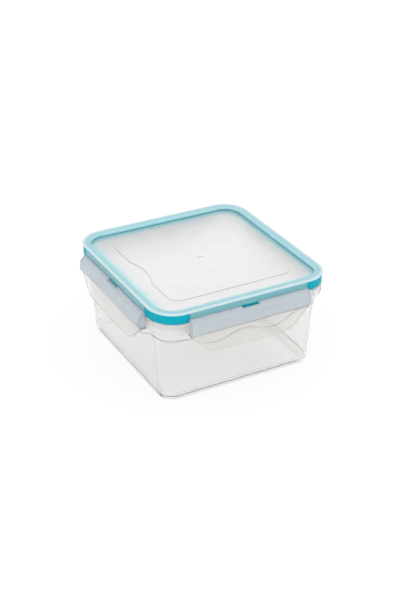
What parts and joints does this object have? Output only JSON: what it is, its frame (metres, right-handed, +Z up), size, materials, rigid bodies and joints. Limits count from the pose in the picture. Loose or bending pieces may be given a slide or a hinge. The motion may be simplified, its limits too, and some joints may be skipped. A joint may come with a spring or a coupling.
{
  "type": "clip-lid food container",
  "caption": "Square clear food container with a recessed lid, a soft gasket and a hinged latch on each side.",
  "frame": {"origin": "centre of the foot, on the surface the container stands on", "axes": "+Z up through the lid, -Y out of the front side, +X to the right"},
  "size_m": [0.1678, 0.1678, 0.083],
  "materials": {
    "tub_clear": "clear moulded polypropylene, polished outside",
    "lid_frosted": "translucent moulded polypropylene, satin",
    "gasket_teal": "soft silicone, satin"
  },
  "bodies": {
    "tub": {"container_tub": "tub_clear"},
    "lid": {"lid": "lid_frosted", "sealing_gasket": "gasket_teal"},
    "strip_front": {"hinge_strip_front": "lid_frosted"},
    "clip_front": {"latch_front": "lid_frosted"},
    "strip_right": {"hinge_strip_right": "lid_frosted"},
    "clip_right": {"latch_right": "lid_frosted"},
    "strip_back": {"hinge_strip_back": "lid_frosted"},
    "clip_back": {"latch_back": "lid_frosted"},
    "strip_left": {"hinge_strip_left": "lid_frosted"},
    "clip_left": {"latch_left": "lid_frosted"}
  },
  "joints": [
    {"name": "lid_lift", "type": "slide", "parent": "tub", "child": "lid", "axis": [0, 0, 1], "range_m": [0, 0.03]},
    {"name": "front_upper_hinge", "type": "hinge", "parent": "lid", "child": "strip_front", "pos_m": [0, -0.07737, 0.08165], "axis": [-1, 0, 0], "range_deg": [0, 100]},
    {"name": "front_lower_hinge", "type": "hinge", "parent": "strip_front", "child": "clip_front", "pos_m": [0, -0.07737, 0.0776], "axis": [-1, 0, 0], "range_deg": [0, 85]},
    {"name": "right_upper_hinge", "type": "hinge", "parent": "lid", "child": "strip_right", "pos_m": [0.07737, 0, 0.08165], "axis": [0, -1, 0], "range_deg": [0, 100]},
    {"name": "right_lower_hinge", "type": "hinge", "parent": "strip_right", "child": "clip_right", "pos_m": [0.07737, 0, 0.0776], "axis": [0, -1, 0], "range_deg": [0, 85]},
    {"name": "back_upper_hinge", "type": "hinge", "parent": "lid", "child": "strip_back", "pos_m": [0, 0.07737, 0.08165], "axis": [1, 0, 0], "range_deg": [0, 100]},
    {"name": "back_lower_hinge", "type": "hinge", "parent": "strip_back", "child": "clip_back", "pos_m": [0, 0.07737, 0.0776], "axis": [1, 0, 0], "range_deg": [0, 85]},
    {"name": "left_upper_hinge", "type": "hinge", "parent": "lid", "child": "strip_left", "pos_m": [-0.07737, 0, 0.08165], "axis": [0, 1, 0], "range_deg": [0, 100]},
    {"name": "left_lower_hinge", "type": "hinge", "parent": "strip_left", "child": "clip_left", "pos_m": [-0.07737, 0, 0.0776], "axis": [0, 1, 0], "range_deg": [0, 85]}
  ],
  "couplings": [
    {"joint": "front_lower_hinge", "follows": "lid_lift", "rad_per_m": 49.4},
    {"joint": "right_lower_hinge", "follows": "lid_lift", "rad_per_m": 49.4},
    {"joint": "back_lower_hinge", "follows": "lid_lift", "rad_per_m": 49.4},
    {"joint": "left_lower_hinge", "follows": "lid_lift", "rad_per_m": 49.4}
  ]
}
